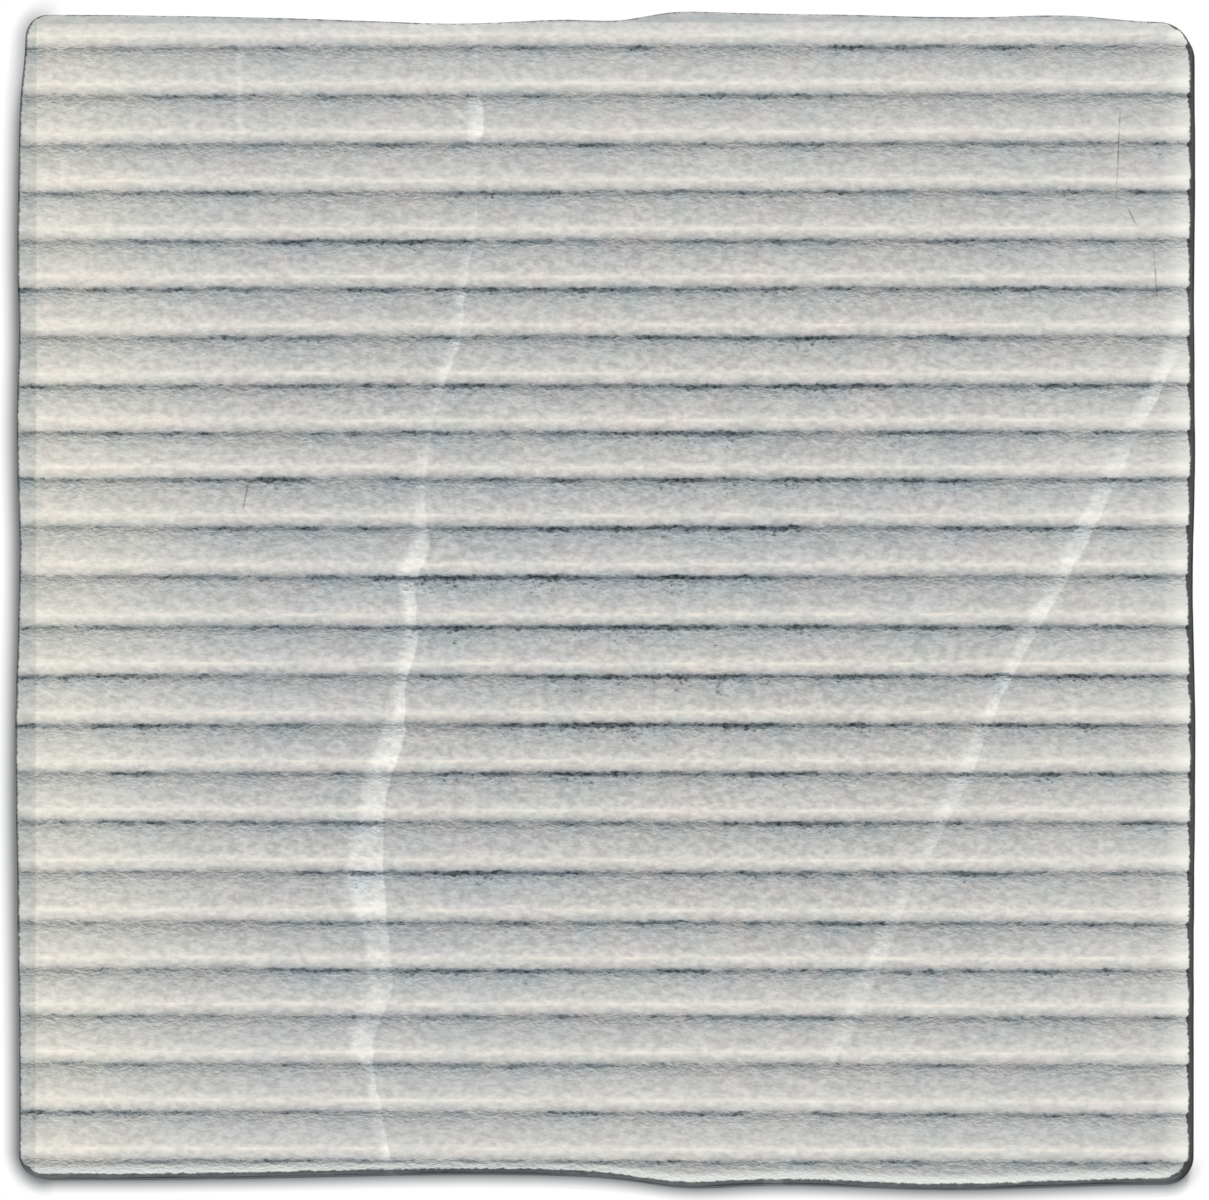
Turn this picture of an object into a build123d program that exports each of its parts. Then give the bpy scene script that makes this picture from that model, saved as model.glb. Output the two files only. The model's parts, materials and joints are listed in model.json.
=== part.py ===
"""A square stone wall tile with lipped flutes milled across its face and tumbled, worn edges.

The tile lies on its sawn back, with its origin at the middle of that back. The flutes run along X
and repeat along Y. All sizes are in millimetres.
"""

import os
from math import acos, asin, cos, degrees, radians, sin, tan

from build123d import *

# Overall size of the tile, to the crests of its ridges
tile_width = 150.0
tile_length = 149.5
tile_thickness = 10.0

# One ridge: a gentle sweep off the floor that flicks up to a rounded crest. Slopes are in degrees.
flute_pitch = 6.16
sweep_radius = 6.0
flick_slope = 9.0
flick_radius = 1.6
crest_slope = 34.0
crest_radius = 1.7

# Behind the crest, a lip that breaks off down a steep riser to a hollow foot
lip_reach = 0.6
riser_height = 0.26
riser_slope = 66.0
foot_radius = 5.5

# Edges rounded by tumbling, the bevel of the back, and the skin of stone milled away above the crests
face_edge_radius = 0.8
back_edge_bevel = 0.8
milled_skin = 0.05

# Radius of each corner, and how far along X and Y it is worn in from the square outline
left_bottom_radius = 3.1
left_bottom_wear = (0.95, 1.0)
right_bottom_radius = 3.6
right_bottom_wear = (0.1, 0.75)
left_top_radius = 2.8
left_top_wear = (0.95, 0.2)
right_top_radius = 4.2
right_top_wear = (0.35, 1.45)

# Depth worn in along each side, and the share of the side passed there, left to right or bottom to top
bottom_wear = (1.25, 1.78, 0.9, 0.28, 0.5, 0.02, 0.6)
bottom_shares = (0.20, 0.44, 0.53, 0.56, 0.63, 0.77, 0.92)
top_wear = (0.42, 1.1, 1.38, 1.0, 1.05, 0.5, 0.1, 0.1, 0.42, 0.78, 0.72)
top_shares = (0.15, 0.30, 0.40, 0.47, 0.515, 0.538, 0.556, 0.60, 0.70, 0.82, 0.91)
left_wear = (0.5, 0.22, 0.5, 0.05, 0.28, 0.04, 0.1, 0.45)
left_shares = (0.25, 0.43, 0.55, 0.66, 0.72, 0.79, 0.87, 0.94)
right_wear = (0.12, 0.12, 0.42, 0.18, 0.35, 0.25)
right_shares = (0.25, 0.43, 0.51, 0.61, 0.755, 0.86)

half_width = tile_width / 2
half_length = tile_length / 2

# How deep the crest, the flick and the sweep reach together
crest_turn = radians(crest_slope)
flick_turn = radians(flick_slope)
crest_drop = crest_radius * (1 - cos(crest_turn))
flick_drop = flick_radius * (cos(flick_turn) - cos(crest_turn))
sweep_drop = sweep_radius * (1 - cos(flick_turn))
flute_depth = crest_drop + flick_drop + sweep_drop
floor_height = tile_thickness - flute_depth

# The lip, riser and foot make up the same depth on the low side of the ridge
lip_turn = asin(lip_reach / crest_radius)
lip_drop = crest_radius * (1 - cos(lip_turn))
riser_run = riser_height / tan(radians(riser_slope))
foot_rise = flute_depth - lip_drop - riser_height
foot_turn = acos(1 - foot_rise / foot_radius)
foot_run = foot_radius * sin(foot_turn)

# As many whole ridges as the tile is long, and one more past each end
ridges_on_face = int(tile_length // flute_pitch)
ridge_count = ridges_on_face + 2
first_crest = -flute_pitch * (ridge_count - 1) / 2


def worn_corner(side_x, side_y, wear, radius):
    """A corner's arc, worn in from the square. Gives its ends on the upright side and on the level one."""
    corner_x = side_x * (half_width - wear[0])
    corner_y = side_y * (half_length - wear[1])
    on_upright = (corner_x, corner_y - side_y * radius)
    on_level = (corner_x - side_x * radius, corner_y)
    TangentArc(on_upright, on_level, tangent=(0, side_y))
    return on_upright, on_level


def worn_side(start, end, square_corner, inward, shares, wear):
    """A side of the outline between two corners, through the points where it is worn in from the square."""
    along = Vector(abs(inward[1]), abs(inward[0]))
    side_length = tile_width if along.X else tile_length
    on_square = [Vector(*square_corner) + along * (share * side_length) for share in shares]
    points = [spot + Vector(*inward) * depth for spot, depth in zip(on_square, wear)]
    Spline(start, *points, end, tangents=(along, along))


def ridge(crest):
    """One ridge of the section. Gives the point where it leaves the floor and the one where it comes back."""
    floor_end = (crest - lip_reach - riser_run - foot_run, floor_height)
    foot = JernArc(floor_end, (1, 0), foot_radius, degrees(foot_turn))
    riser = Line(foot @ 1, (crest - lip_reach, tile_thickness - lip_drop))
    over_crest = -degrees(lip_turn) - crest_slope
    rounded = JernArc(riser @ 1, (cos(lip_turn), sin(lip_turn)), crest_radius, over_crest)
    flick = JernArc(rounded @ 1, (cos(crest_turn), -sin(crest_turn)), flick_radius, crest_slope - flick_slope)
    sweep = JernArc(flick @ 1, (cos(flick_turn), -sin(flick_turn)), sweep_radius, flick_slope)
    return floor_end, sweep @ 1


with BuildPart() as fluted_tile:
    # The slab, with its worn outline, its face's edge rounded by tumbling and its back's edge bevelled
    with BuildSketch() as outline:
        with BuildLine():
            left_low, bottom_left = worn_corner(-1, -1, left_bottom_wear, left_bottom_radius)
            right_low, bottom_right = worn_corner(1, -1, right_bottom_wear, right_bottom_radius)
            left_high, top_left = worn_corner(-1, 1, left_top_wear, left_top_radius)
            right_high, top_right = worn_corner(1, 1, right_top_wear, right_top_radius)
            worn_side(bottom_left, bottom_right, (-half_width, -half_length), (0, 1), bottom_shares, bottom_wear)
            worn_side(top_left, top_right, (-half_width, half_length), (0, -1), top_shares, top_wear)
            worn_side(left_low, left_high, (-half_width, -half_length), (1, 0), left_shares, left_wear)
            worn_side(right_low, right_high, (half_width, -half_length), (-1, 0), right_shares, right_wear)
        make_face()
    extrude(amount=tile_thickness + milled_skin)
    fillet(fluted_tile.edges().group_by(Axis.Z)[-1], face_edge_radius)
    chamfer(fluted_tile.edges().group_by(Axis.Z)[0], back_edge_bevel)

    # The fluted section, milled along X from side to side
    with BuildSketch(Plane.YZ) as section:
        with BuildLine():
            section_start, reached = ridge(first_crest)
            for number in range(1, ridge_count):
                floor_end, next_floor = ridge(first_crest + number * flute_pitch)
                Line(reached, floor_end)
                reached = next_floor
            Polyline(reached, (reached.X, 0), (section_start[0], 0), section_start)
        make_face()
    extrude(amount=tile_width, both=True, mode=Mode.INTERSECT)

fluted_tile.part.label = "fluted_tile"

os.makedirs("parts", exist_ok=True)
export_step(fluted_tile.part, "parts/fluted_tile.step")
print("ridges on the face:", ridges_on_face)
print("size:", fluted_tile.part.bounding_box())
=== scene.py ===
# %% [markdown]
# # A fluted stone tile
# The object is one square of light grey-beige limestone, milled with lipped flutes across its face and
# then tumbled, so that its outline, edges and lips are worn. It lies on its sawn back, and the view looks
# straight down on it. The construction model gives the frame: every size below is in metres in that frame.

# %% Load the construction model
import json
import math

import bpy
import numpy as np
from mathutils import Matrix, Vector

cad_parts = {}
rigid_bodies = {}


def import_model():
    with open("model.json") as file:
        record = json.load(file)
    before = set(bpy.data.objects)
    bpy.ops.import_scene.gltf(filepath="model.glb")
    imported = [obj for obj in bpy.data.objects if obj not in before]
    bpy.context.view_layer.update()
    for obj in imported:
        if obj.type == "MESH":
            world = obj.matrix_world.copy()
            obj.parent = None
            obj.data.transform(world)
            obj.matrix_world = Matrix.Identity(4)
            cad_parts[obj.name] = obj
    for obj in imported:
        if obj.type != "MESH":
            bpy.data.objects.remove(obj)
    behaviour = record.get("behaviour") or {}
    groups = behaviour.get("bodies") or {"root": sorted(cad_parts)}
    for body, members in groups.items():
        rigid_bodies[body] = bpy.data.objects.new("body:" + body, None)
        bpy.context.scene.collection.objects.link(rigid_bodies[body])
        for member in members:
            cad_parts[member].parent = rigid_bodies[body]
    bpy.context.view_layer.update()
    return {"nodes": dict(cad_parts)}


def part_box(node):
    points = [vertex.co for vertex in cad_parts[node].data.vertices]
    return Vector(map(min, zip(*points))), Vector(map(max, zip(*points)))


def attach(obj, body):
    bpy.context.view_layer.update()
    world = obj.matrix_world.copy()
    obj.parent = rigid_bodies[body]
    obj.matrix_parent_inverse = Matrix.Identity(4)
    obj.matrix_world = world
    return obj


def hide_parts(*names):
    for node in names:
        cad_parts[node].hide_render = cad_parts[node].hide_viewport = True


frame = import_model()
MM = 0.001
TILE = "fluted_tile"
low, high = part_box(TILE)
print("construction model:", [round(v / MM, 2) for v in low], "to", [round(v / MM, 2) for v in high], "mm")

# %% [markdown]
# ## The worn outline
# Tumbling wears a tile unevenly, so its outline is no plain square. The construction model already has that
# outline in its upright walls. Tracing it again by eye would drift from the solid, so it is read from the
# node itself: the corners of its mesh that lie on the walls, sorted by their angle about the middle.

# %% Read the outline from the walls
WALL_BAND = (0.75 * MM, 9.3 * MM)


def wall_outline(node, band):
    """The outline as points in order: mesh corners between two heights, sorted by angle about the middle."""
    mesh = frame["nodes"][node].data
    corners = np.zeros(len(mesh.vertices) * 3)
    mesh.vertices.foreach_get("co", corners)
    corners = corners.reshape(-1, 3)
    on_wall = (corners[:, 2] > band[0]) & (corners[:, 2] < band[1])
    plan = corners[on_wall, :2]
    turn = np.round(np.arctan2(plan[:, 1], plan[:, 0]), 5)
    _, first = np.unique(turn, return_index=True)
    return plan[first]


outline = wall_outline(TILE, WALL_BAND)
print("outline read from the walls:", len(outline), "points")

# %% [markdown]
# ## Flutes with broken lips
# Each flute is milled with one cutter: a level floor, a sweep up to a rounded crest, and behind the crest a
# lip that drops down a short steep riser. Limestone is brittle, so the lip chips as it is cut and tumbled,
# and the dark jagged line under it is what makes the tile look carved. The lip could be a bump in the
# material, but a silhouette and a shadow need real shape. So the rows of the mesh follow the lip itself:
# where the lip wanders or a chip bites into it, its rows move with it, and the break stays sharp.

# %% Sizes of one flute
FLUTE_PITCH = 6.16 * MM
CREST_RADIUS = 1.7 * MM
CREST_SLOPE = math.radians(34)
FLICK_RADIUS = 1.6 * MM
FLICK_SLOPE = math.radians(9)
SWEEP_RADIUS = 6.0 * MM
LIP_REACH = 0.6 * MM
RISER_HEIGHT = 0.26 * MM
RISER_ANGLE = math.radians(66)
FOOT_REACH = 2.35 * MM

crest_end = CREST_RADIUS * math.sin(CREST_SLOPE)
flick_end = crest_end + FLICK_RADIUS * (math.sin(CREST_SLOPE) - math.sin(FLICK_SLOPE))
sweep_end = flick_end + SWEEP_RADIUS * math.sin(FLICK_SLOPE)
crest_drop = CREST_RADIUS * (1 - math.cos(CREST_SLOPE))
flick_drop = crest_drop + FLICK_RADIUS * (math.cos(FLICK_SLOPE) - math.cos(CREST_SLOPE))
flute_depth = flick_drop + SWEEP_RADIUS * (1 - math.cos(FLICK_SLOPE))
ridges = int((high.y - low.y) // FLUTE_PITCH)
crests = (np.arange(ridges) - (ridges - 1) / 2) * FLUTE_PITCH
print("ridges:", ridges, "depth", round(flute_depth / MM, 2), "mm")

# %% Columns of the grid, closer together where the edges are rounded
EDGE_RADIUS = 0.8 * MM
EDGE_STEPS = 5
LAST_TURN = 28
COLUMNS = 276

edge_turn = np.linspace(90, LAST_TURN, EDGE_STEPS)
edge_insets = EDGE_RADIUS * (1 - np.sin(np.radians(edge_turn)))
inner = np.linspace(low.x + EDGE_RADIUS, high.x - EDGE_RADIUS, COLUMNS)
columns = np.concatenate([low.x + edge_insets, inner, (high.x - edge_insets)[::-1]])
print("columns:", len(columns), "spaced", round((inner[1] - inner[0]) / MM, 2), "mm")

# %% How the lip wanders and breaks
rng = np.random.default_rng(11)


def wander(places, spacing, lines):
    """Smooth random drift, one line a ridge: values from -1 to 1 at knots, joined by smooth steps."""
    at = (places - places.min()) / spacing
    knot = at.astype(int)
    blend = at - knot
    blend = blend * blend * (3 - 2 * blend)
    values = rng.uniform(-1, 1, (lines, knot.max() + 2))
    return values[:, knot] * (1 - blend) + values[:, knot + 1] * blend


drift = 0.06 * wander(columns, 24 * MM, ridges) + 0.05 * wander(columns, 60 * MM, ridges)
jag = 0.04 * wander(columns, 2.4 * MM, ridges) + 0.09 * wander(columns, 0.9 * MM, ridges)
bites = 0.45 * np.maximum(wander(columns, 1.6 * MM, ridges) - 0.55, 0)
lip = np.clip(LIP_REACH + (jag - bites) * MM, 0.3 * MM, 0.95 * MM)

spread = np.exp(-(((columns - 12 * MM) / (62 * MM)) ** 2) - ((crests[:, None] - 5 * MM) / (55 * MM)) ** 2)
boldness = 0.35 + 0.43 * spread
for share, spacing in ((0.22, 15 * MM), (0.2, 5 * MM), (0.3, 1.6 * MM)):
    boldness = boldness + share * wander(columns, spacing, ridges)
riser = np.clip(RISER_HEIGHT * boldness, 0.04 * MM, 0.4 * MM)
riser_angle = np.clip(RISER_ANGLE * (0.3 + 0.75 * boldness), math.radians(20), math.radians(76))
riser_run = riser / np.tan(riser_angle)
print("lip reach", np.round([lip.min() / MM, lip.max() / MM], 2), "mm")
print("riser", np.round([riser.min() / MM, riser.max() / MM], 2), "mm")

# %% Rows of the grid: each is one line of the section, carried along the tile
# A row just inside the lip, at this share of its reach, keeps the lip's dirt and painted shade off the crest
GUARD_SHARE = 0.45
FEED_SLIP = 0.5 * MM


def feed_slip(y):
    """How far the cutter was off as it stepped across: up by one hump above the middle, down by one below."""
    ahead = np.exp(-(((y - 10 * MM) / (12 * MM)) ** 2))
    behind = np.exp(-(((y + 41 * MM) / (9 * MM)) ** 2))
    return FEED_SLIP * (ahead - behind)


def ridge_rows():
    """Rows across each ridge, measured from its crest: the foot, the riser, the lip, the crest, the sweep."""
    foot_top = lip + riser_run
    level = np.ones_like(lip)
    offsets = [
        -FOOT_REACH * level,
        -(foot_top + 0.35 * (FOOT_REACH - foot_top)),
        -foot_top,
        -lip,
        -GUARD_SHARE * lip,
        0 * level,
        0.5 * crest_end * level,
        crest_end * level,
        0.5 * (crest_end + flick_end) * level,
        flick_end * level,
        0.5 * (flick_end + sweep_end) * level,
        sweep_end * level,
    ]
    return np.stack(offsets, axis=1)


ridge_line = (crests + feed_slip(crests))[:, None] + drift * MM
inner_rows = (ridge_line[:, None, :] + ridge_rows()).reshape(-1, len(columns))
rows_per_ridge = len(inner_rows) // ridges
bottom_rows = np.repeat((low.y + edge_insets)[:, None], len(columns), axis=1)
top_rows = np.repeat((high.y - edge_insets)[::-1, None], len(columns), axis=1)
base_y = np.concatenate([bottom_rows, inner_rows, top_rows])
base_x = np.repeat(columns[None, :], len(base_y), axis=0)
ridge_of_row = np.concatenate(
    [np.zeros(EDGE_STEPS, int), np.repeat(np.arange(ridges), rows_per_ridge), np.full(EDGE_STEPS, ridges - 1)]
)
print("grid:", base_y.shape, "rows and columns, rising:", bool((np.diff(base_y, axis=0) > 0).all()))

# %% [markdown]
# ## Fitting the grid to the outline
# A grid has square corners and straight sides, and the tile has neither. First each corner square is bent so
# that its square rings become quarter rings. Then the grid's own border moves along its normals until it
# meets the outline, and that move fades out a few millimetres inside, so that the flutes stay straight.

# %% Bend the corners, then pull the border to the outline
CORNER_RADIUS = 3.4 * MM
FADE = 3.0 * MM


def rounded(x, y):
    """Square rings of each corner as quarter rings: a point keeps its direction from the corner's centre."""
    past_x = np.abs(x) - (high.x - CORNER_RADIUS)
    past_y = np.abs(y) - (high.y - CORNER_RADIUS)
    in_corner = (past_x > 0) & (past_y > 0)
    reach = np.hypot(past_x, past_y)
    scale = np.where(in_corner, np.maximum(past_x, past_y) / np.maximum(reach, 1e-12), 1.0)
    bent_x = np.sign(x) * (high.x - CORNER_RADIUS + past_x * scale)
    bent_y = np.sign(y) * (high.y - CORNER_RADIUS + past_y * scale)
    normal_x = np.where(in_corner, past_x / np.maximum(reach, 1e-12), past_x > past_y) * np.sign(x)
    normal_y = np.where(in_corner, past_y / np.maximum(reach, 1e-12), past_y >= past_x) * np.sign(y)
    return np.where(in_corner, bent_x, x), np.where(in_corner, bent_y, y), np.stack([normal_x, normal_y], -1)


def reach_outline(points, normals):
    """Distance from each point to the outline along its normal: its line's nearest crossing with a side."""
    start, step = outline, np.roll(outline, -1, axis=0) - outline
    gap = start[None] - points[:, None]
    across = normals[:, None, 0] * step[None, :, 1] - normals[:, None, 1] * step[None, :, 0]
    across = np.where(np.abs(across) < 1e-12, 1e-12, across)
    along = (gap[..., 0] * step[None, :, 1] - gap[..., 1] * step[None, :, 0]) / across
    share = (gap[..., 0] * normals[:, None, 1] - gap[..., 1] * normals[:, None, 0]) / across
    along = np.where((share >= 0) & (share <= 1), along, np.inf)
    nearest = np.abs(along).argmin(axis=1)
    return along[np.arange(len(points)), nearest]


plan_x, plan_y, normals = rounded(base_x, base_y)
plan = np.stack([plan_x, plan_y], -1)
sides = {
    "left": (np.s_[:, 0], base_x - base_x[:, :1]),
    "right": (np.s_[:, -1], base_x[:, -1:] - base_x),
    "bottom": (np.s_[0, :], base_y - base_y[:1]),
    "top": (np.s_[-1, :], base_y[-1:] - base_y),
}
moves, fades, insets = {}, {}, []
for side, (border, inset) in sides.items():
    distance = reach_outline(plan[border], normals[border])
    axis = 1 if side in ("left", "right") else 0
    moves[side] = np.expand_dims(distance[:, None] * normals[border], axis)
    fades[side] = np.clip(1 - inset / FADE, 0, 1)
    insets.append(inset + np.expand_dims(distance, axis) * (1 - fades[side]))

shift = sum(fades[side][..., None] * moves[side] for side in sides)
for upright in ("left", "right"):
    for level in ("bottom", "top"):
        corner = moves[upright][0 if level == "bottom" else -1, 0]
        shift = shift - (fades[upright] * fades[level])[..., None] * corner
plan = plan + shift
inset = np.minimum.reduce(insets)
print("border moved by up to", round(max(np.abs(m).max() for m in moves.values()) / MM, 2), "mm")

# %% Heights: the section, worn down into the rounded edge
MILLED_SKIN = 0.05 * MM
EDGE_RISE = 0.35
EDGE_SOFTNESS = 0.2 * MM


def section_height(t, lip, riser, run):
    """Depth of the section below its crest, t across it. On the high side: the crest's arc, a tight arc that
    flicks up to it, the gentle arc of the sweep and the floor. On the low side: the crest's arc, the riser's
    slope and a parabola for the foot."""
    crest = np.sqrt(np.maximum(CREST_RADIUS**2 - t**2, 0)) - CREST_RADIUS
    flick_turn = np.clip(flick_end - t + FLICK_RADIUS * math.sin(FLICK_SLOPE), 0, FLICK_RADIUS)
    flick = FLICK_RADIUS * math.cos(FLICK_SLOPE) - np.sqrt(FLICK_RADIUS**2 - flick_turn**2) - flick_drop
    sweep_turn = np.clip(sweep_end - t, 0, SWEEP_RADIUS)
    sweep = SWEEP_RADIUS - np.sqrt(SWEEP_RADIUS**2 - sweep_turn**2) - flute_depth
    lip_level = np.sqrt(CREST_RADIUS**2 - lip**2) - CREST_RADIUS
    slope = lip_level - riser * np.clip((-t - lip) / run, 0, 1)
    foot_share = np.clip((FOOT_REACH + t) / (FOOT_REACH - lip - run), 0, 1)
    foot = (lip_level - riser + flute_depth) * foot_share**2 - flute_depth
    high_side = np.where(t <= crest_end, crest, np.where(t <= flick_end, flick, sweep))
    low_side = np.where(-t <= lip, crest, np.where(-t <= lip + run, slope, foot))
    return np.where(t >= 0, high_side, low_side)


def soft_lower(a, b, softness):
    """The lower of two heights, with the corner between them rounded over the given softness."""
    share = np.clip(0.5 + 0.5 * (b - a) / softness, 0, 1)
    return b * (1 - share) + a * share - softness * share * (1 - share)


def edge_radius(x, y):
    """Radius worn on the face's edge, which drifts from place to place as crossed waves."""
    wave = np.sin(x / (6.1 * MM) + 1.3) * np.cos(y / (4.7 * MM) + 0.4)
    fine = np.sin(x / (1.9 * MM) + y / (2.3 * MM))
    return EDGE_RADIUS * (1 + 0.3 * wave + 0.2 * fine)


across = plan[..., 1] - ridge_line[ridge_of_row]
relief = section_height(across, lip[ridge_of_row], riser[ridge_of_row], riser_run[ridge_of_row])
unevenness = 0.03 * wander(columns, 5 * MM, len(base_y))
unevenness = unevenness + 0.05 * wander(columns, 22 * MM, ridges)[ridge_of_row]
relief = np.minimum(relief + unevenness * MM * 0.5, 0)
worn = edge_radius(plan[..., 0], plan[..., 1])
drop = worn - np.sqrt(np.maximum(worn**2 - np.maximum(worn - inset, 0) ** 2, 0))
envelope = MILLED_SKIN + EDGE_RISE * np.maximum(inset - worn, 0) - drop
height = high.z + soft_lower(relief, envelope, EDGE_SOFTNESS)
print("face heights:", round(height.min() / MM, 2), "to", round(height.max() / MM, 2), "mm")

# %% [markdown]
# ## Walls, back edge and back
# Below the face the border goes down the walls, over the bevelled back edge and in to the middle of the
# back. That is a profile carried round the outline: each ring is the border, moved in towards a square core,
# at a new height. Moved along its own normals instead, a ring would cross itself in the corners.

# %% Rings round the border
BACK_BEVEL = 0.8 * MM
BACK_INSET = 1.3 * MM
WALL_PITS = 0.12 * MM
CORE_INSET = 4.4 * MM

face_rows, face_columns = height.shape
number = np.arange(face_rows * face_columns).reshape(face_rows, face_columns)
border = np.concatenate([number[0, :-1], number[:-1, -1], number[-1, :0:-1], number[:0:-1, 0]])
rim = np.stack([plan[..., 0], plan[..., 1], height], -1).reshape(-1, 3)[border]
ahead = np.roll(rim[:, :2], -1, axis=0) - np.roll(rim[:, :2], 1, axis=0)
core = np.array([high.x - CORE_INSET, high.y - CORE_INSET])
from_core = rim[:, :2] - np.clip(rim[:, :2], -core, core)
outward = from_core / np.linalg.norm(from_core, axis=1)[:, None]


def ring(inward, z):
    """The rim, moved in towards the core and set at a height."""
    spot = rim[:, :2] - outward * np.broadcast_to(inward, len(rim))[:, None]
    return np.column_stack([spot, np.broadcast_to(z, len(rim))])


along_rim = np.cumsum(np.linalg.norm(ahead, axis=1) / 2)
rings = [rim]
for share in (0.75, 0.5, 0.25, 0.0):
    depth = WALL_PITS * math.sin(math.pi * (0.1 + 0.8 * share))
    pits = depth * np.maximum(wander(along_rim, 2.6 * MM, 1)[0], 0)
    rings.append(ring(pits, BACK_BEVEL + share * (rim[:, 2] - BACK_BEVEL)))
for share in (0.15, 0.85, 1.0):
    rings.append(ring(BACK_BEVEL * share, low.z + BACK_BEVEL * (1 - share)))
rings.append(ring(BACK_INSET, low.z))
print("rings below the face:", len(rings) - 1, "of", len(rim), "points")

# %% Put the whole surface into one mesh
points = np.concatenate([np.stack([plan[..., 0], plan[..., 1], height], -1).reshape(-1, 3), *rings[1:]])
points = np.vstack([points, [0, 0, low.z]])
middle = len(points) - 1
face_quads = np.stack([number[:-1, :-1], number[:-1, 1:], number[1:, 1:], number[1:, :-1]], -1).reshape(-1, 4)
ring_number = np.vstack([border, number.size + np.arange((len(rings) - 1) * len(rim)).reshape(-1, len(rim))])
upper, lower = ring_number[:-1], ring_number[1:]
next_upper, next_lower = np.roll(upper, -1, axis=1), np.roll(lower, -1, axis=1)
ring_quads = np.stack([upper, lower, next_lower, next_upper], -1).reshape(-1, 4)
last = ring_number[-1]
fan = np.stack([np.roll(last, -1), last, np.full(len(last), middle)], -1)

mesh = bpy.data.meshes.new("fluted_stone")
mesh.from_pydata(points.tolist(), [], face_quads.tolist() + ring_quads.tolist() + fan.tolist())
mesh.polygons.foreach_set("use_smooth", np.ones(len(mesh.polygons), bool))
back_faces = np.zeros(len(mesh.polygons), np.int32)
back_faces[len(face_quads) + (len(rings) - 2) * len(rim):] = 1
mesh.polygons.foreach_set("material_index", back_faces)
mesh.validate()
triangles = 2 * (len(face_quads) + len(ring_quads)) + len(fan)
print("stone surface:", len(points), "points,", triangles, "triangles")

# %% Masks that the finish follows: the broken lip with its painted shade, the crest with its painted highlight, and the worn rim
# Share of dust, dirt and painted shade under the lip, row by row; it also roughens the bump there
LIP_SHADE = (0.32, 0.62, 1.0, 0.94, 0.0, 0.0, 0.0, 0.0, 0.0, 0.0, 0.0, 0.0)
# Share of painted highlight along each crest, highest at the cusp
CREST_SHINE = (0.0, 0.0, 0.0, 0.0, 0.05, 0.25, 0.6, 1.0, 0.5, 0.3, 0.15, 0.0)
ON_WALL = -1.0


def row_mask(by_row):
    """A value for each row of a ridge, repeated over the ridges and held at nothing on the edge rows."""
    spare = np.zeros(EDGE_STEPS)
    on_rows = np.concatenate([spare, np.tile(by_row, ridges), spare])
    return np.repeat(on_rows[:, None], face_columns, axis=1)


def whole_mask(on_face, on_rings):
    """A mask of the whole surface: values on the face, then those on the rings, and none at the middle."""
    return np.concatenate([on_face.ravel(), np.tile(on_rings, len(rings) - 1), [0.0]])


no_ring = np.zeros(len(rim))
masks = {
    "under_lip": whole_mask(row_mask(LIP_SHADE), no_ring),
    "bold_break": whole_mask(boldness[ridge_of_row], no_ring),
    "crest": whole_mask(row_mask(CREST_SHINE), no_ring),
    "rim_inset": whole_mask(inset / MM, no_ring + ON_WALL),
    "faces_right": whole_mask(normals[..., 0], outward[:, 0]),
    "faces_up": whole_mask(normals[..., 1], outward[:, 1]),
}
for name, mask in masks.items():
    mesh.attributes.new(name, "FLOAT", "POINT").data.foreach_set("value", mask.astype(np.float32))

stone = bpy.data.objects.new("fluted_stone", mesh)
bpy.context.scene.collection.objects.link(stone)
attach(stone, "root")
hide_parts(TILE)
print("masks:", list(masks))

# %% [markdown]
# ## The stone
# The limestone is a cool light grey with beige and faint pink clouds, a fine sandy grain drawn out a little
# along the flutes, and two white calcite veins. The face and the sawn back are cut from the same block, so
# the body of the stone and the veins are node groups, built once and placed in both finishes. They read
# Object coordinates, so that a vein goes straight through the tile from face to back.

# %% Helpers for node trees
def add(tree, kind, inputs=(), **settings):
    """A node of that kind, with its settings, and with each input set to a value or linked to a socket."""
    node = tree.nodes.new("ShaderNode" + kind)
    for key, value in settings.items():
        setattr(node, key, value)
    for key, value in dict(inputs).items():
        if isinstance(value, bpy.types.NodeSocket):
            tree.links.new(value, node.inputs[key])
        else:
            node.inputs[key].default_value = value
    return node


def math_node(tree, operation, a, b=0.0, c=0.0):
    """One sum of two or three numbers or sockets."""
    return add(tree, "Math", {0: a, 1: b, 2: c}, operation=operation).outputs[0]


def ramp(tree, value, low_in, high_in, low_out=0.0, high_out=1.0):
    """A value carried smoothly from one range to another and held at its ends."""
    limits = {0: value, 1: low_in, 2: high_in, 3: low_out, 4: high_out}
    return add(tree, "MapRange", limits, interpolation_type="SMOOTHSTEP").outputs[0]


def mix(tree, share, a, b, blend="MIX"):
    """Two colours mixed by a share."""
    node = add(tree, "Mix", {0: share, 6: a, 7: b}, data_type="RGBA", blend_type=blend)
    return node.outputs[2]


def noise(tree, at, scale, detail=4.0, roughness=0.55, curl=0.0):
    """Noise of that many features a metre, about a half, curled into wisps if asked."""
    inputs = {"Vector": at, "Scale": scale, "Detail": detail, "Roughness": roughness, "Distortion": curl}
    return add(tree, "TexNoise", inputs).outputs["Fac"]


def stretched(tree, at, along, across, deep=1.0):
    """Coordinates pressed together or drawn out along each axis."""
    return add(tree, "Mapping", {"Vector": at, "Scale": (along, across, deep)}).outputs[0]


def new_group(name, outputs):
    """An empty shader group that takes a position and gives the named outputs."""
    tree = bpy.data.node_groups.new(name, "ShaderNodeTree")
    tree.interface.new_socket("Position", in_out="INPUT", socket_type="NodeSocketVector")
    for label, kind in outputs.items():
        tree.interface.new_socket(label, in_out="OUTPUT", socket_type="NodeSocket" + kind)
    start = tree.nodes.new("NodeGroupInput")
    end = tree.nodes.new("NodeGroupOutput")
    return tree, start.outputs["Position"], end


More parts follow.
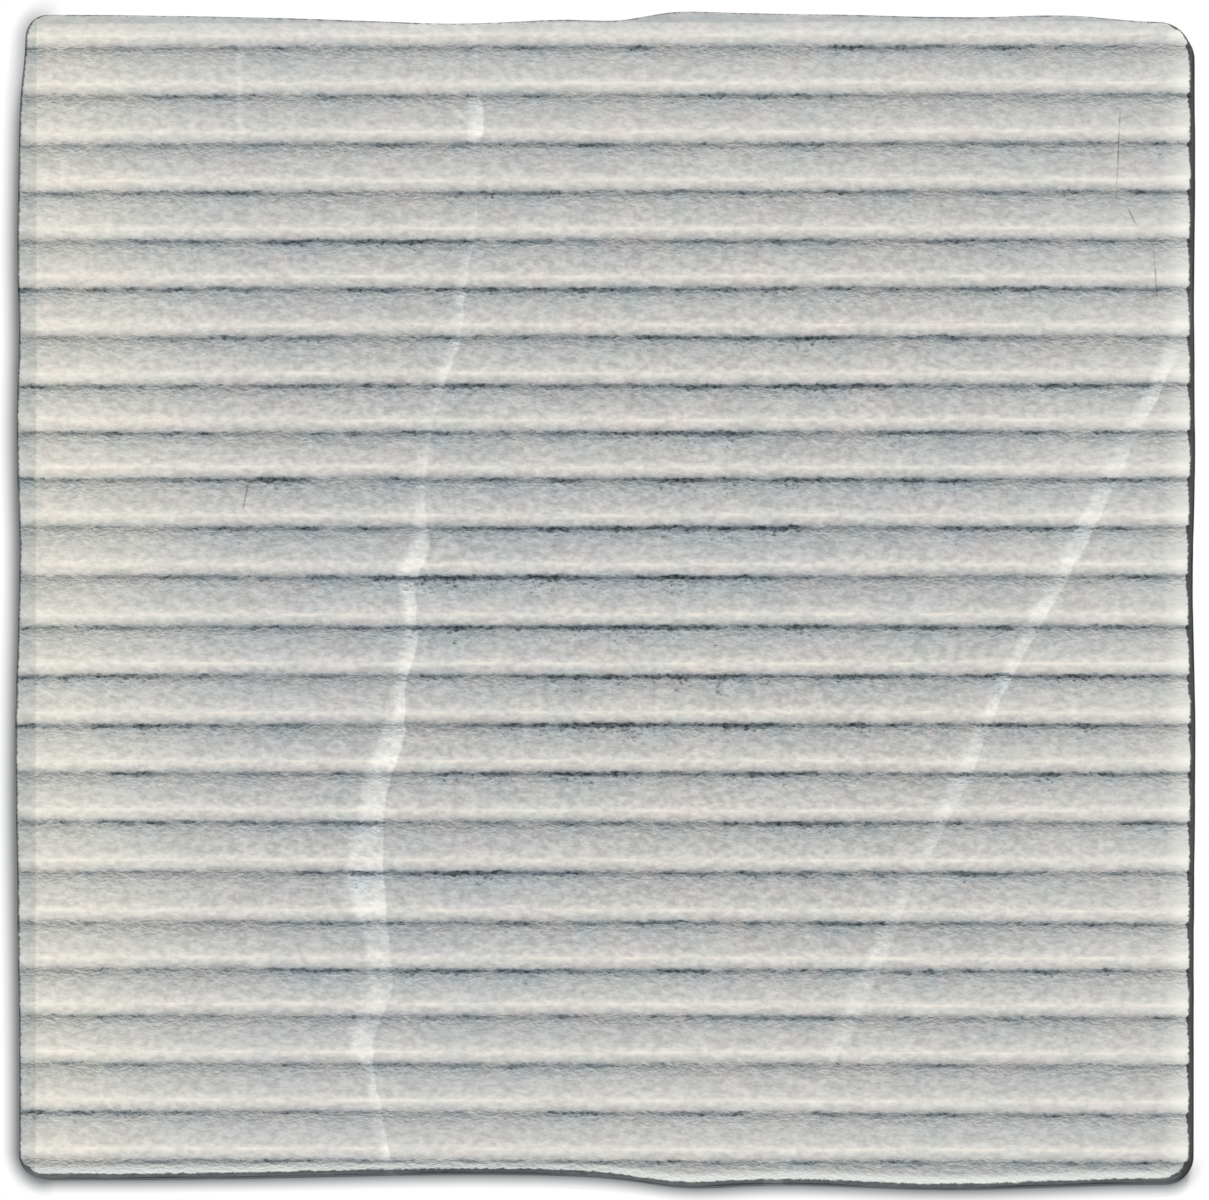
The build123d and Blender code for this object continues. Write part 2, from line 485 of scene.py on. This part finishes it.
def place_group(tree, group, at):
    """A group placed in a tree, reading a position."""
    node = tree.nodes.new("ShaderNodeGroup")
    node.node_tree = group
    tree.links.new(at, node.inputs["Position"])
    return node


# %% The body of the stone: clouds, mottling and grain
COOL_GREY = (0.520, 0.532, 0.545, 1)
WARM_BEIGE = (0.595, 0.572, 0.548, 1)
PINK_CLOUD = (0.590, 0.540, 0.548, 1)
GREEN_CLOUD = (0.495, 0.535, 0.525, 1)
PALE_BED = (0.682, 0.657, 0.608, 1)
DARK_GRAIN = (0.745, 0.753, 0.761, 1)
PALE_GRAIN = (1.265, 1.257, 1.249, 1)
BED_START = -40 * MM
BED_END = -92 * MM
BODY_OUTPUTS = {"Color": "Color", "Speckle": "Color", "Roughness": "Float", "Height": "Float"}


def stone_body():
    """Clouds from broad noise, a pale bed on the left, and wisps of grain that lighten or darken it."""
    tree, at, end = new_group("limestone_body", BODY_OUTPUTS)
    drawn = stretched(tree, at, 0.65, 1.0)
    clouds = ramp(tree, noise(tree, drawn, 24, 3), 0.36, 0.66)
    mottle = ramp(tree, noise(tree, drawn, 190, 4), 0.35, 0.68)
    blush = noise(tree, drawn, 210, 3)
    pink = ramp(tree, blush, 0.5, 0.7, 0.0, 0.5)
    green = ramp(tree, blush, 0.5, 0.3, 0.0, 0.5)
    grain = noise(tree, drawn, 1450, 3, 0.55, 0.15)
    pits = noise(tree, stretched(tree, at, 0.8, 1.2), 500, 3)
    across = add(tree, "SeparateXYZ", {0: at}).outputs["X"]
    bed = ramp(tree, across, BED_START, BED_END, 0.0, 1.25)
    body = mix(tree, math_node(tree, "MULTIPLY", clouds, 0.5), COOL_GREY, WARM_BEIGE)
    body = mix(tree, math_node(tree, "MULTIPLY", mottle, 0.3), body, WARM_BEIGE)
    body = mix(tree, pink, body, PINK_CLOUD)
    body = mix(tree, green, body, GREEN_CLOUD)
    body = mix(tree, bed, body, PALE_BED)
    speckle = mix(tree, ramp(tree, grain, 0.16, 0.84), DARK_GRAIN, PALE_GRAIN)
    tree.links.new(mix(tree, 1.0, body, speckle, "MULTIPLY"), end.inputs["Color"])
    tree.links.new(speckle, end.inputs["Speckle"])
    tree.links.new(ramp(tree, pits, 0.3, 0.7, 0.58, 0.78), end.inputs["Roughness"])
    height = math_node(tree, "ADD", grain, math_node(tree, "MULTIPLY", pits, 0.9))
    tree.links.new(height, end.inputs["Height"])
    return tree


limestone_body = stone_body()
print("stone body:", len(limestone_body.nodes), "nodes")

# %% [markdown]
# ## Veins
# Two calcite veins cross the flutes, one down the left third and one slanting in from the right edge. A vein
# could be a band of a stretched noise, but these have places of their own. So each is a curve: its place
# across the tile, its width and its strength all follow from the place up the tile, by stations measured on
# the face. The pale flecks and the few hairline cracks are short straight strokes.

# %% Two veins and a few short marks
VEIN_SPAN = 80 * MM
CRISP_EDGE = 0.35 * MM
SOFT_EDGE = 1.1 * MM
VEIN_SWAY = 1.2 * MM
VEIN_FRAY = 0.9 * MM
CRACK_WIDTH = 0.36 * MM
FLECK_WIDTH = 1.3 * MM
FLECK_STRENGTH = 0.4
STROKE_FADE = 0.4

# Stations down each vein in millimetres: place up the tile, place across it, width, and strength up to 1
LEFT_VEIN = [
    (74, -16.6, 1.4, 0.5), (66, -16.5, 0.9, 0.3), (62, -16.5, 2.4, 0.9), (59.5, -16.5, 2.4, 0.9),
    (57, -16.6, 0.8, 0.25), (46, -16.9, 1.1, 0.5), (39, -18.2, 1.4, 0.55), (34, -19.0, 1.7, 0.6),
    (21, -22.4, 1.4, 0.4), (13, -23.3, 1.4, 0.5), (7, -23.2, 2.8, 0.75), (4, -24.6, 3.4, 0.75),
    (0, -24.7, 2.1, 0.75), (-6, -24.5, 2.3, 0.7), (-11, -25.9, 1.7, 0.9), (-15, -25.9, 2.0, 0.9),
    (-18, -26.9, 3.8, 0.85), (-24, -28.6, 3.4, 0.85), (-30, -29.6, 4.0, 0.6), (-37, -29.9, 5.2, 0.8),
    (-44, -28.5, 3.2, 0.5), (-50, -28.2, 3.6, 0.5), (-56, -30.2, 3.6, 0.65), (-61, -29.0, 1.1, 0.85),
    (-74, -26.8, 1.7, 1.0),
]
RIGHT_VEIN = [
    (46, 77.2, 0.5, 0.9), (38, 74.7, 2.1, 1.0), (33, 73.2, 2.4, 1.0), (26, 69.6, 2.4, 1.0),
    (20, 66.5, 2.5, 0.55), (14, 63.7, 2.7, 0.6), (8, 60.9, 2.7, 0.9), (2, 57.7, 2.5, 0.8),
    (-5, 53.9, 2.1, 0.7), (-11, 51.0, 1.8, 0.85), (-17, 48.2, 2.4, 0.5), (-23, 45.5, 2.6, 0.65),
    (-36, 39.2, 2.0, 0.35), (-42, 36.5, 2.4, 0.45), (-50, 33.0, 3.0, 0.4), (-56, 30.3, 2.4, 0.4),
    (-62, 27.7, 1.5, 0.2), (-74, 22.4, 2.0, 0.45),
]

# Upper and lower end of each hairline crack and each pale fleck: place up the tile and place across it
CRACKS = [((62, 65.6), (51, 65.2)), ((49.5, 66.7), (47.3, 67.8)), ((45, 69.9), (38.2, 70.4))]
CRACKS += [((14.8, -45.2), (11.5, -45.9))]
FLECKS = [((63.2, -20.0), (60.5, -17.2)), ((70, -46.8), (60, -46.5)), ((-56.6, -67.6), (-58.0, -64.4))]


def curve_of(tree, share, stations, column, lowest, highest, unit=MM):
    """One column of the stations as a smooth curve, read by a share of the tile's height."""
    node = add(tree, "FloatCurve", {"Value": share})
    curve = node.mapping.curves[0]
    shares = [(station[0] * MM + VEIN_SPAN) / (2 * VEIN_SPAN) for station in stations]
    values = [(station[column] - lowest) / (highest - lowest) for station in stations]
    while len(curve.points) < len(stations):
        curve.points.new(0.5, 0.5)
    for point, place in zip(curve.points, sorted(zip(shares, values))):
        point.location = place
    node.mapping.update()
    spread = {0: node.outputs[0], 3: lowest * unit, 4: highest * unit}
    return add(tree, "MapRange", spread, clamp=False).outputs[0]


def stroke(tree, x, y, upper, lower, width):
    """Mask of a short straight mark: how near a spot is to the line between two ends, and gone past them."""
    lean = (upper[1] - lower[1]) / (upper[0] - lower[0])
    line = math_node(tree, "MULTIPLY_ADD", y, lean, (lower[1] - lean * lower[0]) * MM)
    away = math_node(tree, "ABSOLUTE", math_node(tree, "SUBTRACT", x, line))
    above_lower = ramp(tree, y, (lower[0] - STROKE_FADE) * MM, (lower[0] + STROKE_FADE) * MM)
    below_upper = ramp(tree, y, (upper[0] + STROKE_FADE) * MM, (upper[0] - STROKE_FADE) * MM)
    ends = math_node(tree, "MULTIPLY", above_lower, below_upper)
    return math_node(tree, "MULTIPLY", ramp(tree, away, 0.5 * width, 0.0), ends)


def pale_veins():
    """Mask of the veins: how far a spot lies inside each side of the vein, crisp on the right and soft on the
    left, once the vein's line is swayed by broad noise and frayed by fine noise. Beside it, the cracks."""
    tree, at, end = new_group("calcite_veins", {"Mask": "Float", "Cracks": "Float"})
    parts = add(tree, "SeparateXYZ", {0: at}).outputs
    share = add(tree, "MapRange", {0: parts["Y"], 1: -VEIN_SPAN, 2: VEIN_SPAN}).outputs[0]
    sway = math_node(tree, "MULTIPLY_ADD", noise(tree, at, 130, 2), VEIN_SWAY, -0.5 * VEIN_SWAY)
    fray = math_node(tree, "MULTIPLY_ADD", noise(tree, at, 600, 4, 0.6), VEIN_FRAY, -0.5 * VEIN_FRAY)
    swayed = math_node(tree, "ADD", parts["X"], math_node(tree, "ADD", sway, fray))
    mask = 0.0
    for stations in (LEFT_VEIN, RIGHT_VEIN):
        middle_line = curve_of(tree, share, stations, 1, -80, 80)
        half_width = math_node(tree, "MULTIPLY", curve_of(tree, share, stations, 2, 0, 10), 0.5)
        away = math_node(tree, "SUBTRACT", swayed, middle_line)
        on_right = ramp(tree, math_node(tree, "SUBTRACT", half_width, away), 0.0, CRISP_EDGE)
        on_left = ramp(tree, math_node(tree, "ADD", half_width, away), -0.5 * SOFT_EDGE, SOFT_EDGE)
        inside = math_node(tree, "MULTIPLY", on_right, on_left)
        strong = math_node(tree, "MULTIPLY", inside, curve_of(tree, share, stations, 3, 0, 1, 1.0))
        mask = math_node(tree, "MAXIMUM", strong, mask)
    for upper, lower in FLECKS:
        fleck = stroke(tree, swayed, parts["Y"], upper, lower, FLECK_WIDTH)
        mask = math_node(tree, "MAXIMUM", math_node(tree, "MULTIPLY", fleck, FLECK_STRENGTH), mask)
    patchy = ramp(tree, noise(tree, at, 380, 4, 0.65), 0.32, 0.58, 0.6, 1.0)
    tree.links.new(math_node(tree, "MULTIPLY", mask, patchy), end.inputs["Mask"])
    cracks = 0.0
    for upper, lower in CRACKS:
        crack = stroke(tree, parts["X"], parts["Y"], upper, lower, CRACK_WIDTH)
        cracks = math_node(tree, "MAXIMUM", crack, cracks)
    broken = ramp(tree, noise(tree, at, 500, 2), 0.35, 0.6, 0.1, 0.6)
    tree.links.new(math_node(tree, "MULTIPLY", cracks, broken), end.inputs["Cracks"])
    return tree


calcite_veins = pale_veins()
print("veins:", len(calcite_veins.nodes), "nodes")

# %% [markdown]
# ## The milled face and the sawn back
# The face shows the stone with its veins, bleached a little towards the rim, with dust, dirt and painted
# shade under the broken lips, wear and painted highlights along the crests, and pale bruises with painted
# highlights along the edges. The walls and the outer rim are the same stone darkened by painted shade, the
# right wall most.
# The dark under the lips could be painted by a noise alone, but the masks were worked out with the shape, so
# it sits exactly in the break. The back shows the stone as the saw left it, with faint straight marks.

# %% The milled and tumbled finish
CALCITE = (0.840, 0.845, 0.835, 1)
# Cool grey of dust and painted shade in the hollow below each lip
FLUTE_DUST_AND_SHADE = (0.835, 0.925, 0.990, 1)
# Warm wear and painted highlight along the crests, and a brighter painted highlight stroke at the cusp
CREST_CREAM_AND_HIGHLIGHT = (0.660, 0.610, 0.550, 1)
CREST_HIGHLIGHT = (0.820, 0.780, 0.720, 1)
# Dark of the hairline cracks, and of dirt with painted shade in the break under the lips
DIRT_AND_PAINTED_SHADE = (0.050, 0.057, 0.060, 1)
# Painted shade on a band along the left and top edges
EDGE_BAND_SHADE = (0.800, 0.835, 0.865, 1)
# Pale bruises with painted highlights on the right and bottom edges, and painted highlight in a strip along
# the top; the pale colour also bleaches the face towards the rim
PALE_BRUISE_AND_HIGHLIGHT = (0.750, 0.750, 0.725, 1)
CHALK_AND_HIGHLIGHT = (0.820, 0.845, 0.825, 1)
# Painted shade: walls darker than the face, darker at the outer rim, darkest on the right wall and down
# towards the floor
WALL_SHADE = (0.66, 0.67, 0.69, 1)
ARRIS_SHADE = (0.22, 0.23, 0.25, 1)
RIGHT_WALL_SHADE = (0.180, 0.190, 0.200, 1)
LOW_WALL_SHADE = (0.045, 0.048, 0.055, 1)
STONE_SHEEN = 0.12
GRAIN_RELIEF = 0.09 * MM
CREST_SHARE = 0.28
DIRT_AND_SHADE_REACH = 0.17
BREAK_GAIN = 0.24
BLEACH_SHARE = 0.17
BLEACH_START = 4.0
BLEACH_END = 38.0
LEFT_BAND = -72.27 * MM
BAND_LEAN = 0.005
TOP_BAND = 73.4 * MM
TOP_STRIP = 72.0 * MM
TOP_HIGHLIGHT_SHARE = 0.26
RIM_SHADE_INSET = 0.3
RIM_SHADE_SPREAD = 0.18


def new_finish(name):
    """A material with its position, stone and veins in place, and the colour that they give together."""
    material = bpy.data.materials.new(name)
    material.use_nodes = True
    tree = material.node_tree
    at = add(tree, "TexCoord").outputs["Object"]
    body = place_group(tree, limestone_body, at)
    veins = place_group(tree, calcite_veins, at)
    calcite = mix(tree, 0.7, CALCITE, body.outputs["Speckle"], "MULTIPLY")
    colour = mix(tree, veins.outputs["Mask"], body.outputs["Color"], calcite)
    shader = tree.nodes["Principled BSDF"]
    shader.inputs["Specular IOR Level"].default_value = STONE_SHEEN
    return material, tree, shader, at, body, veins, colour


def painted(tree, name):
    """A mask that was worked out with the shape."""
    return add(tree, "Attribute", attribute_name=name).outputs["Fac"]


def dirt_and_shade_mask(tree, under_lip, crumbs):
    """Where dirt and painted shade show under the lip: crumbs over a limit, which falls towards the lip and
    where the lip broke boldly.
    """
    reach = ramp(tree, under_lip, 0.35, 1.0, 0.0, DIRT_AND_SHADE_REACH)
    broken = math_node(tree, "MULTIPLY_ADD", painted(tree, "bold_break"), BREAK_GAIN, crumbs)
    dirty = ramp(tree, math_node(tree, "ADD", broken, reach), 0.78, 1.05, 0.0, 0.9)
    return math_node(tree, "MULTIPLY", dirty, ramp(tree, under_lip, 0.0, 0.25))


def rim_colour(tree, at, colour, crumbs):
    """The colour at the rim, and the share of it that is darkened: pale bruises with painted highlights
    inside it on the right, at the bottom and along the top, a band of painted shade past a straight line on
    the left and at the top, then the outer rim and the walls, which are the bare stone darkened by painted
    shade, the right wall most and towards the floor. Crumbs make the borders ragged."""
    parts = add(tree, "SeparateXYZ", {0: at}).outputs
    bare = colour
    ragged = math_node(tree, "MULTIPLY_ADD", crumbs, 0.6, painted(tree, "rim_inset"))
    right = math_node(tree, "MAXIMUM", painted(tree, "faces_right"), 0.0)
    left = math_node(tree, "MAXIMUM", math_node(tree, "MULTIPLY", painted(tree, "faces_right"), -1.0), 0.0)
    down = math_node(tree, "MAXIMUM", math_node(tree, "MULTIPLY", painted(tree, "faces_up"), -1.0), 0.0)
    on_right = math_node(tree, "MULTIPLY", ramp(tree, ragged, 4.4, 0.8), right)
    on_bottom = math_node(tree, "MULTIPLY", ramp(tree, ragged, 2.3, 1.4), down)
    # Painted highlight in a strip along the top, and pale bruises with painted highlights inside the right
    # and bottom edges
    top_highlight_strip = ramp(tree, parts["Y"], TOP_STRIP - 0.5 * MM, TOP_STRIP + 0.5 * MM, 0.0, TOP_HIGHLIGHT_SHARE)
    bruised_and_lit = math_node(tree, "MAXIMUM", math_node(tree, "MAXIMUM", on_right, on_bottom), top_highlight_strip)
    colour = mix(tree, bruised_and_lit, colour, mix(tree, on_bottom, PALE_BRUISE_AND_HIGHLIGHT, CHALK_AND_HIGHLIGHT))
    # A band of painted shade past a straight line on the left and at the top
    leaning = math_node(tree, "MULTIPLY_ADD", parts["Y"], BAND_LEAN, parts["X"])
    past_left = ramp(tree, leaning, LEFT_BAND + 0.1 * MM, LEFT_BAND - 0.1 * MM)
    past_top = ramp(tree, parts["Y"], TOP_BAND - 0.1 * MM, TOP_BAND + 0.1 * MM)
    colour = mix(tree, math_node(tree, "MAXIMUM", past_left, past_top), colour, EDGE_BAND_SHADE, "MULTIPLY")
    # Painted shade on the walls and the outer rim, darkest on the right wall and down towards the floor
    plain_wall_shade = mix(tree, ramp(tree, painted(tree, "rim_inset"), -0.3, 0.0), WALL_SHADE, ARRIS_SHADE)
    right_side_shade = mix(tree, ramp(tree, parts["Z"], 6.5 * MM, 3.0 * MM), RIGHT_WALL_SHADE, LOW_WALL_SHADE)
    wall_shade_tint = mix(tree, ramp(tree, right, 0.3, 0.8), plain_wall_shade, right_side_shade)
    rim_shaded_colour = mix(tree, 1.0, bare, wall_shade_tint, "MULTIPLY")
    grooves = math_node(tree, "MULTIPLY", painted(tree, "under_lip"), right)
    limit = math_node(tree, "MULTIPLY_ADD", down, 2.8, math_node(tree, "MULTIPLY_ADD", right, 0.7, left))
    limit = math_node(tree, "MULTIPLY_ADD", grooves, 2.0, limit)
    limit = math_node(tree, "MULTIPLY_ADD", limit, RIM_SHADE_SPREAD, RIM_SHADE_INSET)
    rim_shade_share = ramp(tree, ragged, math_node(tree, "ADD", limit, 0.2), limit)
    return mix(tree, rim_shade_share, colour, rim_shaded_colour), rim_shade_share


def milled_finish():
    """The stone, bleached towards the rim, with wear and painted highlights along the crests, dust, dirt and
    painted shade under the lips, a worn rim and rough walls."""
    material, tree, shader, at, body, veins, colour = new_finish("milled_limestone")
    under_lip = painted(tree, "under_lip")
    crest = painted(tree, "crest")
    crumbs = noise(tree, stretched(tree, at, 0.6, 1.0), 2400, 3, 0.6)
    highlight_dashes = ramp(tree, noise(tree, stretched(tree, at, 0.2, 0.6), 900, 3), 0.42, 0.62, 0.0, 0.4)
    blotches = ramp(tree, noise(tree, stretched(tree, at, 0.5, 1.0), 500, 3), 0.3, 0.7, 0.5, 1.4)
    bold = ramp(tree, painted(tree, "bold_break"), 0.15, 0.95, 0.1, 1.15)
    # Dust and painted shade, cool grey, in the hollow below the lip
    dust_and_shade = math_node(tree, "MULTIPLY", math_node(tree, "MULTIPLY", under_lip, bold), blotches)
    colour = mix(tree, dust_and_shade, colour, FLUTE_DUST_AND_SHADE, "MULTIPLY")
    bleached = ramp(tree, painted(tree, "rim_inset"), BLEACH_END, BLEACH_START, 0.0, BLEACH_SHARE)
    colour = mix(tree, bleached, colour, PALE_BRUISE_AND_HIGHLIGHT)
    # Warm wear with painted highlight along the crest, then broken strokes of painted highlight at its cusp
    colour = mix(tree, math_node(tree, "MULTIPLY", crest, CREST_SHARE), colour, CREST_CREAM_AND_HIGHLIGHT)
    colour = mix(tree, math_node(tree, "MULTIPLY", ramp(tree, crest, 0.6, 1.0), highlight_dashes), colour, CREST_HIGHLIGHT)
    colour = mix(tree, veins.outputs["Cracks"], colour, DIRT_AND_PAINTED_SHADE)
    # Dirt and painted shade in the break under the lip
    colour = mix(tree, dirt_and_shade_mask(tree, under_lip, crumbs), colour, DIRT_AND_PAINTED_SHADE)
    colour, rim_shade_share = rim_colour(tree, at, colour, crumbs)
    tree.links.new(colour, shader.inputs["Base Color"])
    rough = math_node(tree, "MAXIMUM", body.outputs["Roughness"], rim_shade_share)
    tree.links.new(rough, shader.inputs["Roughness"])
    crumbled = math_node(tree, "MULTIPLY", math_node(tree, "SUBTRACT", crumbs, 0.5), under_lip)
    height = math_node(tree, "MULTIPLY_ADD", crumbled, -4.0, body.outputs["Height"])
    relief = {"Height": height, "Distance": GRAIN_RELIEF, "Strength": 1.0}
    tree.links.new(add(tree, "Bump", relief).outputs[0], shader.inputs["Normal"])
    return material


mesh.materials.append(milled_finish())
print("face finish:", len(mesh.materials[0].node_tree.nodes), "nodes")

# %% The sawn finish of the back
SAW_RELIEF = 0.05 * MM


def sawn_finish():
    """The stone with straight saw marks: a band of waves along X, broken up a little by noise."""
    material, tree, shader, at, body, _, colour = new_finish("sawn_limestone")
    tree.links.new(colour, shader.inputs["Base Color"])
    tree.links.new(body.outputs["Roughness"], shader.inputs["Roughness"])
    marks = {"Vector": at, "Scale": 330, "Distortion": 1.5, "Detail": 2.0, "Detail Scale": 0.4}
    saw = add(tree, "TexWave", marks, bands_direction="Y").outputs["Fac"]
    height = math_node(tree, "ADD", math_node(tree, "MULTIPLY", saw, 0.8), body.outputs["Height"])
    relief = {"Height": height, "Distance": SAW_RELIEF, "Strength": 1.0}
    tree.links.new(add(tree, "Bump", relief).outputs[0], shader.inputs["Normal"])
    return material


mesh.materials.append(sawn_finish())
print("back finish:", len(mesh.materials[1].node_tree.nodes), "nodes")

# %% [markdown]
# ## Floor, light and camera
# The tile lies on a plain white floor. One broad sun stands behind the top edge, a little to the right and
# low enough to rake across the flutes: it lights the sweeps and leaves the broken lips dark. A pale cool sky
# fills the shade. Seen by the camera the floor is lifted towards white, and beside the tile on the left and
# below it shows painted shadow, which the tile's real soft shadow darkens further.

# %% The floor: rings round the tile, so that each spot knows how far it lies from it and on which side
FLOOR_REACH = 4.0
FLOOR_GAP = 0.02 * MM
# Grey of the paper beside the tile: painted shadow where the sun reaches it, darkened further by the real
# shadow
SHADED_PAPER = (0.52, 0.53, 0.56, 1)
FLOOR_GREY = (0.3, 0.3, 0.3, 1)
WHITE = (1, 1, 1, 1)
SHADE_DEPTH = 0.88
LEFT_SHADE = (1.25 * MM, 3.15 * MM)
BOTTOM_SHADE = (-0.1 * MM, 1.65 * MM)

floor_offsets = np.array([-1.5, 0, 0.4, 0.8, 1.2, 1.7, 2.2, 2.8, 3.2, 30.0]) * MM
floor_rings = [ring(-offset, low.z - FLOOR_GAP) for offset in floor_offsets]
direction = rim[:, :2] / np.linalg.norm(rim[:, :2], axis=1)[:, None]
floor_rings.append(np.column_stack([FLOOR_REACH * direction, np.full(len(rim), low.z - FLOOR_GAP)]))
floor_points = np.vstack([*floor_rings, [0, 0, low.z - FLOOR_GAP]])
floor_number = np.arange(len(floor_rings) * len(rim)).reshape(-1, len(rim))
nearer, farther = floor_number[:-1], floor_number[1:]
next_nearer, next_farther = np.roll(nearer, -1, axis=1), np.roll(farther, -1, axis=1)
floor_quads = np.stack([nearer, farther, next_farther, next_nearer], -1).reshape(-1, 4)
inmost = floor_number[0]
floor_fan = np.stack([inmost, np.roll(inmost, -1), np.full(len(rim), len(floor_points) - 1)], -1)


def shade_share(offset):
    """Share of painted shadow at an offset from the tile: whole up to one distance and gone at another, on
    the left and at the bottom, where the tile keeps the sun off. There the grey paper shows, and the real
    shadow darkens it further."""
    to_left = np.maximum(-outward[:, 0], 0)
    to_bottom = np.maximum(-outward[:, 1], 0)
    share_left = to_left / np.maximum(to_left + to_bottom, 1e-6)
    start = LEFT_SHADE[0] * share_left + BOTTOM_SHADE[0] * (1 - share_left)
    end = LEFT_SHADE[1] * share_left + BOTTOM_SHADE[1] * (1 - share_left)
    reached = np.clip((end - offset) / (end - start), 0, 1)
    return SHADE_DEPTH * np.clip(1.5 * np.maximum(to_left, to_bottom), 0, 1) * reached


shade = np.concatenate([shade_share(offset) for offset in (*floor_offsets, FLOOR_REACH)] + [[1.0]])

floor_mesh = bpy.data.meshes.new("floor")
floor_mesh.from_pydata(floor_points.tolist(), [], floor_quads.tolist() + floor_fan.tolist())
floor_mesh.attributes.new("shade", "FLOAT", "POINT").data.foreach_set("value", shade.astype(np.float32))
floor = bpy.data.objects.new("floor", floor_mesh)
bpy.context.scene.collection.objects.link(floor)


def seen_rays(tree):
    """Share of the rays that show a surface to the camera: straight, in a reflection or through glass."""
    path = add(tree, "LightPath").outputs
    seen = math_node(tree, "MAXIMUM", path["Is Camera Ray"], path["Is Glossy Ray"])
    return math_node(tree, "MAXIMUM", seen, path["Is Transmission Ray"])


def floor_finish():
    """White to the camera by its own light, which gives way beside the tile to a grey paper: that grey is
    painted shadow, and the real soft shadow darkens it further. Pale grey to the tile."""
    material = bpy.data.materials.new("white_floor")
    material.use_nodes = True
    tree = material.node_tree
    tree.nodes.remove(tree.nodes["Principled BSDF"])
    paper = add(tree, "BsdfDiffuse", {"Color": SHADED_PAPER}).outputs[0]
    glow = add(tree, "Emission", {"Color": WHITE, "Strength": 1.0}).outputs[0]
    shown = add(tree, "MixShader", {0: painted(tree, "shade"), 1: glow, 2: paper}).outputs[0]
    grey = add(tree, "BsdfDiffuse", {"Color": FLOOR_GREY}).outputs[0]
    surface = add(tree, "MixShader", {0: seen_rays(tree), 1: grey, 2: shown}).outputs[0]
    tree.links.new(surface, tree.nodes["Material Output"].inputs["Surface"])
    return material


floor_mesh.materials.append(floor_finish())
print("floor:", len(floor_rings), "rings,", FLOOR_REACH, "m in radius")

# %% The sun and the sky
SUN_HEIGHT = math.radians(40)
SUN_TURN = math.radians(13)
SUN_SPREAD = math.radians(11)
SUN_STRENGTH = 3.0
SUN_COLOUR = (1.0, 0.947, 0.88)
SKY_STRENGTH = 0.38
SKY_COLOUR = (0.86, 0.95, 1.0, 1)

level = math.cos(SUN_HEIGHT)
to_sun = Vector((level * math.sin(SUN_TURN), level * math.cos(SUN_TURN), math.sin(SUN_HEIGHT)))
sun_light = bpy.data.lights.new("sun", "SUN")
sun_light.energy = SUN_STRENGTH
sun_light.color = SUN_COLOUR
sun_light.angle = SUN_SPREAD
sun = bpy.data.objects.new("sun", sun_light)
sun.rotation_euler = to_sun.to_track_quat("Z", "Y").to_euler()
bpy.context.scene.collection.objects.link(sun)

world = bpy.data.worlds.new("sky")
world.use_nodes = True
bpy.context.scene.world = world
sky = world.node_tree
fill = add(sky, "Background", {"Color": SKY_COLOUR, "Strength": SKY_STRENGTH}).outputs[0]
white = add(sky, "Background", {"Color": WHITE, "Strength": 1.0}).outputs[0]
backdrop = add(sky, "MixShader", {0: seen_rays(sky), 1: fill, 2: white}).outputs[0]
sky.links.new(backdrop, sky.nodes["World Output"].inputs["Surface"])
print("flat light level:", round(SUN_STRENGTH * math.sin(SUN_HEIGHT) / math.pi + SKY_STRENGTH, 2))

# %% The camera
VIEW_WIDTH = 153.45 * MM
LENS = 600
SENSOR = 36
TILT_RIGHT = math.radians(4.6)
TILT_DOWN = math.radians(3.2)
AIM_RIGHT = 0.32 * MM
AIM_UP = -0.19 * MM

aim = Vector((AIM_RIGHT, AIM_UP, high.z))
away = Vector((math.sin(TILT_RIGHT), -math.sin(TILT_DOWN), 1)).normalized()
up = away.cross(Vector((1, 0, 0))).normalized()
right = up.cross(away)
camera_data = bpy.data.cameras.new("camera")
camera_data.lens = LENS
camera_data.sensor_width = SENSOR
camera = bpy.data.objects.new("camera", camera_data)
camera.rotation_euler = Matrix((right, up, away)).transposed().to_euler()
camera.location = aim + away * (VIEW_WIDTH * LENS / SENSOR)
bpy.context.scene.collection.objects.link(camera)
bpy.context.scene.camera = camera
bpy.context.scene.view_settings.view_transform = "Standard"
print("camera at", [round(v, 3) for v in camera.location], "m")
